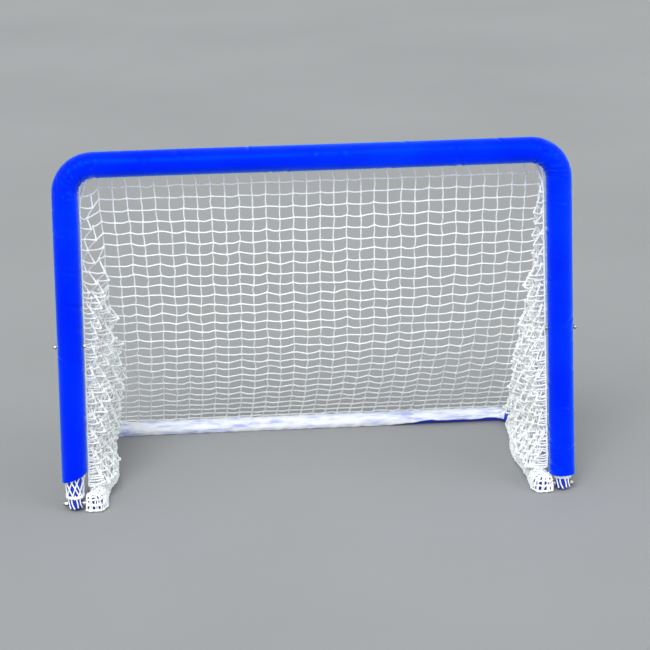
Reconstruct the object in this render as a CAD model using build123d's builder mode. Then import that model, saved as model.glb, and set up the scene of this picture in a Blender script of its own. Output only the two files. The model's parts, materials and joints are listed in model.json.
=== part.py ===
from build123d import *
import math
import os

os.makedirs("parts", exist_ok=True)

# Portable hockey goal: a padded upright frame folds back over a low ground frame, with a slack net between.
# Millimetres. X runs across the mouth, Y from the mouth to the back, Z up from the ground.

# Mouth and depth
MOUTH_WIDTH = 1220.0        # clear width between the padded posts, at the crossbar
CROSSBAR_Z = 955.0          # height of the crossbar's axis
DEPTH = 580.0               # post axis to rear bar axis
FOOT_FLARE = 20.0           # how far each foot stands outside its post's top

# Steel tube
TUBE_R = 19.0
TUBE_BORE_R = 17.5
SPIGOT_R = 17.3
SPIGOT_BORE_R = 15.8
HOOP_BEND_R = 75.0
REAR_BEND_R = 60.0

# Foam pads and vinyl cover
FOAM_BORE_R = 19.3
FOAM_R = 33.5
COVER_BORE_R = 33.8
COVER_R = 35.0
LEFT_PAD_END_Z = 97.0       # the left pad is cut on a slant about this height
LEFT_PAD_SLANT_DEG = 17.0
RIGHT_PAD_END_Z = 50.0
PAD_SPLIT_Z = 840.0         # the post pads meet the crossbar pad here
PAD_GAP = 0.6

# Tube joints
POST_JOINT_Z = 430.0
POST_BOLT_Z = 465.0
POST_SPIGOT_UP = 70.0
POST_SPIGOT_DOWN = 60.0
BAR_JOINT_X = 500.0
BAR_SPIGOT_HALF = 60.0
REAR_JOINT_BACK = 150.0     # side bar ends this far in front of the rear bar's axis
REAR_SPIGOT_HALF = 55.0
REAR_BOLT_AHEAD = 30.0

# Foot hinge: one bolt through post, spacer and side bar
PIVOT_Z = TUBE_R
POST_TO_BAR = 56.0          # post axis to side bar axis, at the pivot
FOOT_CUT_Z = 9.5
BAR_NOSE = 15.0             # side bar reaches this far in front of the pivot
PIVOT_BOLT_R = 4.0
PIVOT_HOLE_R = 4.05
WASHER_T = 1.6
SPACER_R = 8.0

# Fasteners
M6_R = 3.0
M6_HOLE_R = 3.2
M6_FLATS = 10.0
M6_HEAD_T = 4.0
M6_NUT_T = 5.0
M8_FLATS = 13.0
M8_HEAD_T = 5.3
M8_NUT_T = 8.0
WASHER_R = 8.0
REAR_BOLT_END = 2.5         # thread that shows past each nut
POST_BOLT_END = 3.5
PIVOT_BOLT_END = 4.0
NUT_CHAMFER = 0.6
TIP_CHAMFER = 0.8

# Woven hem of the back panel
HEM_GAP = 0.4
HEM_T = 1.6
HEM_BEND_DEG = 50.0         # how far the hem goes round each bend of the rear bar

# Fits and working room
END_GAP = 0.3               # between two tube ends that meet over a spigot
TUBE_DRILL = 25.0           # a drilled hole runs this far each side of a tube's axis
PAD_DRILL = 45.0            # and this far through a padded post

# Derived places
TOP_X = MOUTH_WIDTH / 2 + COVER_R
FOOT_X = TOP_X + FOOT_FLARE
BAR_X = FOOT_X - POST_TO_BAR
POST_Y = -(DEPTH + TUBE_R + HEM_GAP + HEM_T - COVER_R) / 2
REAR_Y = POST_Y + DEPTH
SIDES = {"left": -1, "right": 1}


def post_x(z):
    """Distance of a post's axis from the middle of the mouth at height z."""
    return FOOT_X - FOOT_FLARE * (z - PIVOT_Z) / (CROSSBAR_Z - PIVOT_Z)


def save(part, name):
    part.label = name
    export_step(part, f"parts/{name}.step")


def tube_along(points, bend, outer, inner):
    """A round tube, or a rod when inner is 0, along straight runs joined by arcs."""
    with BuildPart() as tube:
        with BuildLine() as route:
            if len(points) == 2:
                Line(*points)
            else:
                FilletPolyline(*points, radius=bend)
        with BuildSketch(Plane(origin=route.line @ 0, z_dir=route.line % 0)):
            Circle(outer)
            if inner:
                Circle(inner, mode=Mode.SUBTRACT)
        sweep()
    return tube.part


def drilled(body, x_from, x_to, y, z, radius):
    """The body with a round hole along X."""
    with BuildPart() as result:
        add(body)
        with BuildSketch(Plane(origin=(x_from, y, z), x_dir=(0, 1, 0), z_dir=(1, 0, 0))):
            Circle(radius)
        extrude(amount=x_to - x_from, mode=Mode.SUBTRACT)
    return result.part


def ring_on_x(x_from, x_to, y, z, outer, inner):
    """A washer, spacer or plain pin along X, between two X places."""
    with BuildPart() as ring:
        with BuildSketch(Plane(origin=(x_from, y, z), x_dir=(0, 1, 0), z_dir=(1, 0, 0))):
            Circle(outer)
            if inner:
                Circle(inner, mode=Mode.SUBTRACT)
        extrude(amount=x_to - x_from)
    return ring.part


def hex_on_x(x_from, x_to, y, z, flats, bore):
    """A hex nut, or a bolt head when bore is 0, along X."""
    with BuildPart() as nut:
        with BuildSketch(Plane(origin=(x_from, y, z), x_dir=(0, 1, 0), z_dir=(1, 0, 0))):
            RegularPolygon(flats / 2, 6, major_radius=False)
            if bore:
                Circle(bore, mode=Mode.SUBTRACT)
        extrude(amount=x_to - x_from)
        rims = nut.faces().sort_by(Axis.X)
        outside = rims[-1] if x_to > x_from else rims[0]
        chamfer(outside.outer_wire().edges(), length=NUT_CHAMFER)
    return nut.part


def bolt_on_x(head_x, head_t, end_x, y, z, shank, flats):
    """A hex bolt along X, with its head's inner face at head_x and its point at end_x."""
    way = 1 if end_x > head_x else -1
    with BuildPart() as bolt:
        with BuildSketch(Plane(origin=(head_x, y, z), x_dir=(0, 1, 0), z_dir=(way, 0, 0))):
            Circle(shank)
        extrude(amount=abs(end_x - head_x))
        with BuildSketch(Plane(origin=(head_x, y, z), x_dir=(0, 1, 0), z_dir=(-way, 0, 0))):
            RegularPolygon(flats / 2, 6, major_radius=False)
        extrude(amount=head_t)
        tip = bolt.faces().sort_by(Axis.X)[-1 if way > 0 else 0]
        chamfer(tip.outer_wire().edges(), length=TIP_CHAMFER)
    return bolt.part


def group(parts):
    """Separate solids kept together as one piece of the list."""
    return Compound(children=list(parts))


# ---------------------------------------------------------------- ground frame
REAR_JOINT_Y = REAR_Y - REAR_JOINT_BACK
REAR_BOLT_Y = REAR_JOINT_Y + REAR_BOLT_AHEAD

for name, side in SIDES.items():
    x = side * BAR_X
    bar = tube_along([(x, POST_Y - BAR_NOSE, TUBE_R), (x, REAR_JOINT_Y, TUBE_R)], 0, TUBE_R, TUBE_BORE_R)
    bar = drilled(bar, x - TUBE_DRILL, x + TUBE_DRILL, POST_Y, PIVOT_Z, PIVOT_BOLT_R)
    save(bar, f"{name}_side_bar")

rear = tube_along(
    [
        (-BAR_X, REAR_JOINT_Y + END_GAP, TUBE_R),
        (-BAR_X, REAR_Y, TUBE_R),
        (BAR_X, REAR_Y, TUBE_R),
        (BAR_X, REAR_JOINT_Y + END_GAP, TUBE_R),
    ],
    REAR_BEND_R,
    TUBE_R,
    TUBE_BORE_R,
)
for side in SIDES.values():
    x = side * BAR_X
    rear = drilled(rear, x - TUBE_DRILL, x + TUBE_DRILL, REAR_BOLT_Y, TUBE_R, M6_R)
save(rear, "rear_bar")

spigots = []
for side in SIDES.values():
    x = side * BAR_X
    ends = [(x, REAR_JOINT_Y - REAR_SPIGOT_HALF, TUBE_R), (x, REAR_JOINT_Y + REAR_SPIGOT_HALF, TUBE_R)]
    spigot = tube_along(ends, 0, SPIGOT_R, SPIGOT_BORE_R)
    spigots.append(drilled(spigot, x - TUBE_DRILL, x + TUBE_DRILL, REAR_BOLT_Y, TUBE_R, M6_R))
save(group(spigots), "rear_joint_spigots")

rear_bolts = []
rear_nuts = []
for side in SIDES.values():
    inner_face = side * (BAR_X - TUBE_R)
    outer_face = side * (BAR_X + TUBE_R)
    end_x = outer_face + side * (M6_NUT_T + REAR_BOLT_END)
    rear_bolts.append(bolt_on_x(inner_face, M6_HEAD_T, end_x, REAR_BOLT_Y, TUBE_R, M6_R, M6_FLATS))
    nut_end = outer_face + side * M6_NUT_T
    rear_nuts.append(hex_on_x(outer_face, nut_end, REAR_BOLT_Y, TUBE_R, M6_FLATS, M6_R))
save(group(rear_bolts), "rear_joint_bolts")
save(group(rear_nuts), "rear_joint_nuts")

# Push-in plugs in the side bars' front ends
PLUG_LIP = 2.5
PLUG_DEPTH = 9.0
PLUG_INSET = 0.3
PLUG_ROUND = 1.8
plugs = []
for side in SIDES.values():
    with BuildPart() as plug:
        nose = Plane(origin=(side * BAR_X, POST_Y - BAR_NOSE, TUBE_R), z_dir=(0, -1, 0))
        with BuildSketch(nose):
            Circle(TUBE_R - PLUG_INSET)
        extrude(amount=PLUG_LIP)
        fillet(plug.faces().sort_by(Axis.Y)[0].edges(), radius=PLUG_ROUND)
        with BuildSketch(nose):
            Circle(TUBE_BORE_R)
        extrude(amount=-PLUG_DEPTH)
    plugs.append(plug.part)
save(group(plugs), "side_bar_plugs")

# ---------------------------------------------------------------- foot hinges
POST_FOOT_IN = FOOT_X - TUBE_R
POST_FOOT_OUT = FOOT_X + TUBE_R
BAR_OUT = BAR_X + TUBE_R
BAR_IN = BAR_X - TUBE_R
# The flared post is a little wider along X at its lower and upper hole edges.
FLARE_ROOM = 0.5

bolts = []
nuts = []
spacers = []
washers = []
for side in SIDES.values():
    head_face = side * (BAR_IN - WASHER_T)
    nut_face = side * (POST_FOOT_OUT + FLARE_ROOM + WASHER_T)
    tip = nut_face + side * (M8_NUT_T + PIVOT_BOLT_END)
    bolts.append(bolt_on_x(head_face, M8_HEAD_T, tip, POST_Y, PIVOT_Z, PIVOT_BOLT_R, M8_FLATS))
    nuts.append(hex_on_x(nut_face, nut_face + side * M8_NUT_T, POST_Y, PIVOT_Z, M8_FLATS, PIVOT_BOLT_R))
    spacer_span = (side * (BAR_OUT + WASHER_T), side * (POST_FOOT_IN - FLARE_ROOM))
    spacers.append(ring_on_x(*spacer_span, POST_Y, PIVOT_Z, SPACER_R, PIVOT_HOLE_R))
    for face in (BAR_IN - WASHER_T, BAR_OUT, POST_FOOT_OUT + FLARE_ROOM):
        span = (side * face, side * (face + WASHER_T))
        washers.append(ring_on_x(*span, POST_Y, PIVOT_Z, WASHER_R, PIVOT_HOLE_R))
save(group(bolts), "hinge_bolts")
save(group(nuts), "hinge_nuts")
save(group(spacers), "hinge_spacers")
save(group(washers), "hinge_washers")

# ---------------------------------------------------------------- front frame
POST_BOLT_X = post_x(POST_BOLT_Z)


def on_post(side, z):
    return (side * post_x(z), POST_Y, z)


for name, side in SIDES.items():
    lower = tube_along([on_post(side, FOOT_CUT_Z), on_post(side, POST_JOINT_Z)], 0, TUBE_R, TUBE_BORE_R)
    reach = (side * FOOT_X - TUBE_DRILL, side * FOOT_X + TUBE_DRILL)
    lower = drilled(lower, *reach, POST_Y, PIVOT_Z, PIVOT_HOLE_R)
    save(lower, f"{name}_lower_post")

    bar_end = (side * BAR_JOINT_X, POST_Y, CROSSBAR_Z)
    corner = (side * TOP_X, POST_Y, CROSSBAR_Z)
    upper = tube_along(
        [bar_end, corner, on_post(side, POST_JOINT_Z + END_GAP)], HOOP_BEND_R, TUBE_R, TUBE_BORE_R
    )
    reach = (side * POST_BOLT_X - TUBE_DRILL, side * POST_BOLT_X + TUBE_DRILL)
    upper = drilled(upper, *reach, POST_Y, POST_BOLT_Z, M6_HOLE_R)
    save(upper, f"{name}_upper_post")

bar_half = BAR_JOINT_X - END_GAP
bar_ends = [(-bar_half, POST_Y, CROSSBAR_Z), (bar_half, POST_Y, CROSSBAR_Z)]
crossbar = tube_along(bar_ends, 0, TUBE_R, TUBE_BORE_R)
save(crossbar, "crossbar")

post_spigots = []
bar_spigots = []
for side in SIDES.values():
    ends = [on_post(side, POST_JOINT_Z - POST_SPIGOT_DOWN), on_post(side, POST_JOINT_Z + POST_SPIGOT_UP)]
    spigot = tube_along(ends, 0, SPIGOT_R, SPIGOT_BORE_R)
    reach = (side * POST_BOLT_X - TUBE_DRILL, side * POST_BOLT_X + TUBE_DRILL)
    post_spigots.append(drilled(spigot, *reach, POST_Y, POST_BOLT_Z, M6_HOLE_R))
    near = (side * BAR_JOINT_X - BAR_SPIGOT_HALF, POST_Y, CROSSBAR_Z)
    far = (side * BAR_JOINT_X + BAR_SPIGOT_HALF, POST_Y, CROSSBAR_Z)
    bar_spigots.append(tube_along([near, far], 0, SPIGOT_R, SPIGOT_BORE_R))
save(group(post_spigots), "post_joint_spigots")
save(group(bar_spigots), "crossbar_joint_spigots")

# Round-nosed plugs under the posts: the nose is centred on the pivot, so it rolls as the frame folds.
NOSE_INSET = 0.6
STEM_INSET = 0.2
BOLT_CLEAR = 1.0
NOSE_R = TUBE_R - NOSE_INSET
STEM_R = TUBE_BORE_R - STEM_INSET
STEM_TOP = PIVOT_Z - PIVOT_BOLT_R - BOLT_CLEAR
nose_edge = math.sqrt(NOSE_R**2 - (PIVOT_Z - FOOT_CUT_Z) ** 2)
nose_middle = math.asin(nose_edge / NOSE_R) / 2
foot_plugs = []
for side in SIDES.values():
    with BuildPart() as foot_plug:
        with BuildSketch(Plane(origin=(side * FOOT_X, POST_Y, 0), x_dir=(1, 0, 0), z_dir=(0, -1, 0))):
            with BuildLine():
                bottom = (0, PIVOT_Z - NOSE_R)
                halfway = (NOSE_R * math.sin(nose_middle), PIVOT_Z - NOSE_R * math.cos(nose_middle))
                ThreePointArc(bottom, halfway, (nose_edge, FOOT_CUT_Z))
                Polyline(
                    (nose_edge, FOOT_CUT_Z), (STEM_R, FOOT_CUT_Z), (STEM_R, STEM_TOP), (0, STEM_TOP), bottom
                )
            make_face()
        revolve(axis=Axis((side * FOOT_X, POST_Y, 0), (0, 0, 1)))
    foot_plugs.append(foot_plug.part)
save(group(foot_plugs), "post_foot_plugs")

# ---------------------------------------------------------------- pads and cover
POST_PAD_TOP = PAD_SPLIT_Z - PAD_GAP
PAD_TRIM = 30.0             # made this much too long below, then cut to the slant


def cut_slant(body, side, height, slant):
    """The body cut off below a plane through a post's axis, tilted so that the outer side hangs lower."""
    tilt = math.radians(slant)
    with BuildPart() as above:
        add(body)
        tilted = Plane(origin=on_post(side, height), z_dir=(side * math.sin(tilt), 0, math.cos(tilt)))
        with BuildSketch(tilted):
            Rectangle(3 * COVER_R, 3 * COVER_R)
        extrude(amount=-2 * PAD_TRIM, mode=Mode.SUBTRACT)
    return above.part


PAD_ENDS = {"left": (LEFT_PAD_END_Z, LEFT_PAD_SLANT_DEG), "right": (RIGHT_PAD_END_Z, 0.0)}
for name, side in SIDES.items():
    height, slant = PAD_ENDS[name]
    pad = tube_along([on_post(side, height - PAD_TRIM), on_post(side, POST_PAD_TOP)], 0, FOAM_R, FOAM_BORE_R)
    pad = cut_slant(pad, side, height, slant)
    reach = (side * POST_BOLT_X - PAD_DRILL, side * POST_BOLT_X + PAD_DRILL)
    save(drilled(pad, *reach, POST_Y, POST_BOLT_Z, M6_HOLE_R), f"{name}_post_foam")

hoop_corners = [(-TOP_X, POST_Y, CROSSBAR_Z), (TOP_X, POST_Y, CROSSBAR_Z)]
bar_foam = tube_along(
    [on_post(-1, PAD_SPLIT_Z), *hoop_corners, on_post(1, PAD_SPLIT_Z)], HOOP_BEND_R, FOAM_R, FOAM_BORE_R
)
save(bar_foam, "crossbar_foam")

cover = tube_along(
    [on_post(-1, LEFT_PAD_END_Z - PAD_TRIM), *hoop_corners, on_post(1, RIGHT_PAD_END_Z)],
    HOOP_BEND_R,
    COVER_R,
    COVER_BORE_R,
)
cover = cut_slant(cover, -1, LEFT_PAD_END_Z, LEFT_PAD_SLANT_DEG)
for side in SIDES.values():
    reach = (side * POST_BOLT_X - PAD_DRILL, side * POST_BOLT_X + PAD_DRILL)
    cover = drilled(cover, *reach, POST_Y, POST_BOLT_Z, M6_HOLE_R)
save(cover, "vinyl_cover")

# Bolts that pin the post halves, through foam and cover, with washers outside the cover
JOINT_WASHER_R = 7.0
JOINT_WASHER_T = 1.4
COVER_ROOM = 1.0
post_bolts = []
post_nuts = []
post_washers = []
for side in SIDES.values():
    inside = side * (POST_BOLT_X - COVER_R - COVER_ROOM)
    outside = side * (POST_BOLT_X + COVER_R + COVER_ROOM)
    head_face = inside - side * JOINT_WASHER_T
    nut_face = outside + side * JOINT_WASHER_T
    tip = nut_face + side * (M6_NUT_T + POST_BOLT_END)
    post_bolts.append(bolt_on_x(head_face, M6_HEAD_T, tip, POST_Y, POST_BOLT_Z, M6_R, M6_FLATS))
    post_nuts.append(hex_on_x(nut_face, nut_face + side * M6_NUT_T, POST_Y, POST_BOLT_Z, M6_FLATS, M6_R))
    for near, far in ((head_face, inside), (outside, nut_face)):
        post_washers.append(ring_on_x(near, far, POST_Y, POST_BOLT_Z, JOINT_WASHER_R, M6_HOLE_R))
save(group(post_bolts), "post_joint_bolts")
save(group(post_nuts), "post_joint_nuts")
save(group(post_washers), "post_joint_washers")

# Hook-and-loop closures down the back of the cover
STRIP_GAP = 0.3
STRIP_T = 1.6
STRIP_HALF = 14.0
STRIP_END_ROOM = 25.0       # kept back from a pad end or a bend
STRIP_Y = POST_Y + COVER_R + STRIP_GAP


def closure(points):
    """A flat strip, its width across the tube, along a straight run behind the cover."""
    with BuildPart() as strip:
        with BuildLine() as run:
            Line(*points)
        with BuildSketch(Plane(origin=run.line @ 0, x_dir=(0, 1, 0), z_dir=run.line % 0)):
            Rectangle(STRIP_T, 2 * STRIP_HALF)
        sweep()
    return strip.part


strip_axis = STRIP_Y + STRIP_T / 2
for name, side in SIDES.items():
    low = PAD_ENDS[name][0] + STRIP_END_ROOM
    ends = [(side * post_x(low), strip_axis, low), (side * post_x(PAD_SPLIT_Z), strip_axis, PAD_SPLIT_Z)]
    save(closure(ends), f"{name}_post_closure")
strip_reach = TOP_X - HOOP_BEND_R - STRIP_END_ROOM
save(
    closure([(-strip_reach, strip_axis, CROSSBAR_Z), (strip_reach, strip_axis, CROSSBAR_Z)]),
    "crossbar_closure",
)

# ---------------------------------------------------------------- net
# The back panel hangs in an arc from the head rope to the rear bar; the side panels fill in to the posts.
NET_T = 2.4
NET_MESH = 37.5
ROPE_R = 2.5
ROPE_GAP = 0.4
NET_GAP = 1.0               # between the head rope and the panel that hangs from it
TAIL_BEHIND = 2.0
TAIL_ABOVE = 6.0
SIDE_ROPE_GAP = 0.5
NET_COLUMNS = 32
NET_SAG = 90.0
NET_HALF = NET_COLUMNS * NET_MESH / 2
HEAD_Y = STRIP_Y + STRIP_T + ROPE_R + ROPE_GAP
HEAD_Z = CROSSBAR_Z
TAIL_Y = REAR_Y + TAIL_BEHIND
TAIL_Z = 2 * TUBE_R + TAIL_ABOVE
SIDE_NET_X = BAR_X


def net_arc(inset):
    """Start, middle and end of the back panel's arc in the side view, moved towards the goal's inside."""
    start = Vector(HEAD_Y, HEAD_Z - ROPE_R - NET_GAP)
    finish = Vector(TAIL_Y, TAIL_Z)
    chord = finish - start
    below = Vector(chord.Y, -chord.X).normalized()
    middle = (start + finish) * 0.5 + below * NET_SAG
    radius = NET_SAG / 2 + chord.length**2 / (8 * NET_SAG)
    centre = middle - below * radius
    grow = (radius + inset) / radius
    return [centre + (point - centre) * grow for point in (start, middle, finish)]


SIDE_VIEW = Plane(origin=(0, 0, 0), x_dir=(0, 1, 0), z_dir=(1, 0, 0))

with BuildPart() as back_net:
    with BuildSketch(SIDE_VIEW.offset(-NET_HALF)):
        with BuildLine():
            outer_arc = ThreePointArc(*net_arc(0))
            inner_arc = ThreePointArc(*net_arc(NET_T))
            Line(outer_arc @ 0, inner_arc @ 0)
            Line(outer_arc @ 1, inner_arc @ 1)
        make_face()
    extrude(amount=2 * NET_HALF)
save(back_net.part, "back_net")

SIDE_NET_AHEAD = 4.0
for name, side in SIDES.items():
    with BuildPart() as side_net:
        with BuildSketch(SIDE_VIEW.offset(side * SIDE_NET_X - NET_T / 2)):
            with BuildLine():
                hang = ThreePointArc(*net_arc(0))
                front_top = (HEAD_Y - SIDE_NET_AHEAD, (hang @ 0).Y)
                front_low = (HEAD_Y - SIDE_NET_AHEAD, (hang @ 1).Y)
                Line(hang @ 0, front_top)
                Line(front_top, front_low)
                Line(front_low, hang @ 1)
            make_face()
        extrude(amount=NET_T)
    save(side_net.part, f"{name}_side_net")

# Ropes that edge the net: along the head, down each post and along each side bar
ROPE_REACH = TOP_X - HOOP_BEND_R
save(tube_along([(-ROPE_REACH, HEAD_Y, HEAD_Z), (ROPE_REACH, HEAD_Y, HEAD_Z)], 0, ROPE_R, 0), "net_head_rope")

EDGE_LOW = 130.0
edge_ropes = []
hem_ropes = []
for side in SIDES.values():
    low_x = side * post_x(EDGE_LOW)
    high_x = side * post_x(PAD_SPLIT_Z)
    edge_ropes.append(tube_along([(low_x, HEAD_Y, EDGE_LOW), (high_x, HEAD_Y, PAD_SPLIT_Z)], 0, ROPE_R, 0))
    hem_z = 2 * TUBE_R + ROPE_R + SIDE_ROPE_GAP
    ends = [(side * SIDE_NET_X, HEAD_Y, hem_z), (side * SIDE_NET_X, REAR_Y - REAR_BEND_R, hem_z)]
    hem_ropes.append(tube_along(ends, 0, ROPE_R, 0))
save(group(edge_ropes), "net_post_ropes")
save(group(hem_ropes), "net_side_ropes")

# The hem is folded over the rear bar, follows it a little way round both bends, and is open below
HEM_BORE_R = TUBE_R + HEM_GAP
HEM_R = HEM_BORE_R + HEM_T
HEM_FROM_DEG = -35.0
HEM_TO_DEG = 215.0
bend_x = BAR_X - REAR_BEND_R
bend_y = REAR_Y - REAR_BEND_R
start_turn = math.radians(HEM_BEND_DEG)
across = (-math.sin(start_turn), math.cos(start_turn), 0)
with BuildPart() as net_hem:
    with BuildLine(Plane.XY.offset(TUBE_R)) as hem_route:
        CenterArc((-bend_x, bend_y), REAR_BEND_R, 90 + HEM_BEND_DEG, -HEM_BEND_DEG)
        Line((-bend_x, REAR_Y), (bend_x, REAR_Y))
        CenterArc((bend_x, bend_y), REAR_BEND_R, 90, -HEM_BEND_DEG)
    hem_start = Plane(origin=hem_route.line @ 0, x_dir=across, z_dir=hem_route.line % 0)
    with BuildSketch(hem_start):
        with BuildLine():
            outside = CenterArc((0, 0), HEM_R, HEM_FROM_DEG, HEM_TO_DEG - HEM_FROM_DEG)
            inside = CenterArc((0, 0), HEM_BORE_R, HEM_FROM_DEG, HEM_TO_DEG - HEM_FROM_DEG)
            Line(outside @ 0, inside @ 0)
            Line(outside @ 1, inside @ 1)
        make_face()
    sweep()
save(net_hem.part, "net_rear_hem")
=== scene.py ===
import json
import math

import bpy
import numpy as np
from mathutils import Matrix, Vector


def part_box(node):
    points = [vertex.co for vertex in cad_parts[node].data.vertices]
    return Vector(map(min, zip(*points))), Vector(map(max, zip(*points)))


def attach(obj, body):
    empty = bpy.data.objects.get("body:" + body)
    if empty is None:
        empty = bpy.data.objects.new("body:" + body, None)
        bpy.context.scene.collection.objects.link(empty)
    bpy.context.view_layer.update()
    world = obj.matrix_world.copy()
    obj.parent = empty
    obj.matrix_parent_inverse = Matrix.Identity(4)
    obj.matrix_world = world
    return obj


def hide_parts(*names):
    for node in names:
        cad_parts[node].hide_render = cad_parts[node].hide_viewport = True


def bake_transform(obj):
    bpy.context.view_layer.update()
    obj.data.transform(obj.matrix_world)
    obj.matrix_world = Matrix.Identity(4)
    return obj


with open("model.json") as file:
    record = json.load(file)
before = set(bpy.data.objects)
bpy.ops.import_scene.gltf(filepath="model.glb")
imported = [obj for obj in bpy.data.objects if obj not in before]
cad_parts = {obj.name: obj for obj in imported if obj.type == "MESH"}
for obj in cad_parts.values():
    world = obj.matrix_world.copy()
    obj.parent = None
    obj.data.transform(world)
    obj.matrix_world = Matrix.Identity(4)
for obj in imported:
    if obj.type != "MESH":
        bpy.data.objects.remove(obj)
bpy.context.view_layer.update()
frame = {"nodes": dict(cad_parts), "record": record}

dice = np.random.default_rng(11)

# ------------------------------------------------------------------ places, in metres
BAR_LOW, BAR_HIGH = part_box("right_side_bar")
CROSSBAR_LOW, CROSSBAR_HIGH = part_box("crossbar")
COVER_LOW, COVER_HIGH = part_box("vinyl_cover")
HEAD_LOW, HEAD_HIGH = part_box("net_head_rope")

TUBE_R = (BAR_HIGH.z - BAR_LOW.z) / 2
BAR_X = (BAR_LOW.x + BAR_HIGH.x) / 2
POST_Y = (CROSSBAR_LOW.y + CROSSBAR_HIGH.y) / 2
REAR_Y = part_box("rear_bar")[1].y - TUBE_R
CROSSBAR_Z = (CROSSBAR_LOW.z + CROSSBAR_HIGH.z) / 2
PAD_R = (COVER_HIGH.y - COVER_LOW.y) / 2
HEAD_Y = (HEAD_LOW.y + HEAD_HIGH.y) / 2
PIVOT_Z = TUBE_R
TOP_X = 0.645               # post axis at the crossbar
FOOT_X = 0.665              # post axis at the pivot
HOOP_BEND_R = 0.075         # of the tube's axis at the top corners
PAD_ENDS = {"left": 0.097, "right": 0.050}
LEFT_SLANT = math.tan(math.radians(21))  # of the left pad's lower end
PAD_SPLIT_Z = 0.840         # where the post pads meet the crossbar pad
POST_BOLT_Z = 0.465
REAR_BEND_R = 0.060         # of the rear bar's axis
HEM_BEND = math.radians(50)  # how far the hem goes round each bend of the rear bar
SIDES = {"left": -1, "right": 1}

# Net
CORD_R = 0.0019
KNOT_R = 0.0041
ROWS = 30
COLUMNS = 32
NET_TOP = HEAD_LOW.z - 0.001
NET_LEFT = -0.566           # the left edge stands further in than the right one
NET_RIGHT = 0.606
TAIL_Y = REAR_Y + 0.002
TAIL_Z = 2 * TUBE_R + 0.006
NET_SAG = 0.090
EDGE_Y = HEAD_Y - 0.010     # the side nets' front edge and the rope in it
EDGE_INSET = 0.036          # of that edge from the post's axis
EDGE_TOP, EDGE_BOTTOM = 0.925, 0.056  # heights of its ends
SIDE_NET_LOWEST = 0.050
TIE_GAP = 0.075
TIE_KNOT_R = 0.0046
ROPE_R = 0.0028
ROPE_TWIST = 480            # radians a metre
SKIRT_CORD_R = 0.0032
SKIRT_CORD_TWIST = 420

# The lowest rows of the side nets are moved inwards by TUCK_IN, so that they clear the side bar when
# the frame is folded back. The tuck comes in over TUCK_RISE below TUCK_TOP, and fades over TUCK_FADE
# before TUCK_BACK, which is how far behind the post it ends.
TUCK_IN = 0.034
TUCK_TOP, TUCK_RISE = 0.15, 0.08
TUCK_BACK, TUCK_FADE = 0.34, 0.14


def post_x(z):
    return FOOT_X - (FOOT_X - TOP_X) * (z - PIVOT_Z) / (CROSSBAR_Z - PIVOT_Z)


# ------------------------------------------------------------------ mesh helpers
def make_piece(name, points, faces, material):
    mesh = bpy.data.meshes.new(name)
    faces = [tuple(int(i) for i in face) for face in faces]
    mesh.from_pydata([tuple(point) for point in np.asarray(points)], [], faces)
    mesh.validate()
    mesh.polygons.foreach_set("use_smooth", [True] * len(mesh.polygons))
    mesh.materials.append(material)
    piece = bpy.data.objects.new(name, mesh)
    bpy.context.scene.collection.objects.link(piece)
    return piece


def unit(rows):
    return rows / np.maximum(np.linalg.norm(rows, axis=-1, keepdims=True), 1e-12)


def through(points, steps):
    """A smooth line through the points, with that many stretches between each two."""
    p = np.asarray(points, float)
    padded = np.vstack([2 * p[0] - p[1], p, 2 * p[-1] - p[-2]])
    t = np.linspace(0, 1, steps, endpoint=False)[:, None]
    line = []
    for a, b, c, d in zip(padded, padded[1:], padded[2:], padded[3:]):
        square, cube = 2 * a - 5 * b + 4 * c - d, 3 * b - a - 3 * c + d
        line.append(0.5 * (2 * b + (c - a) * t + square * t**2 + cube * t**3))
    return np.vstack(line + [p[-1:]])


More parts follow.
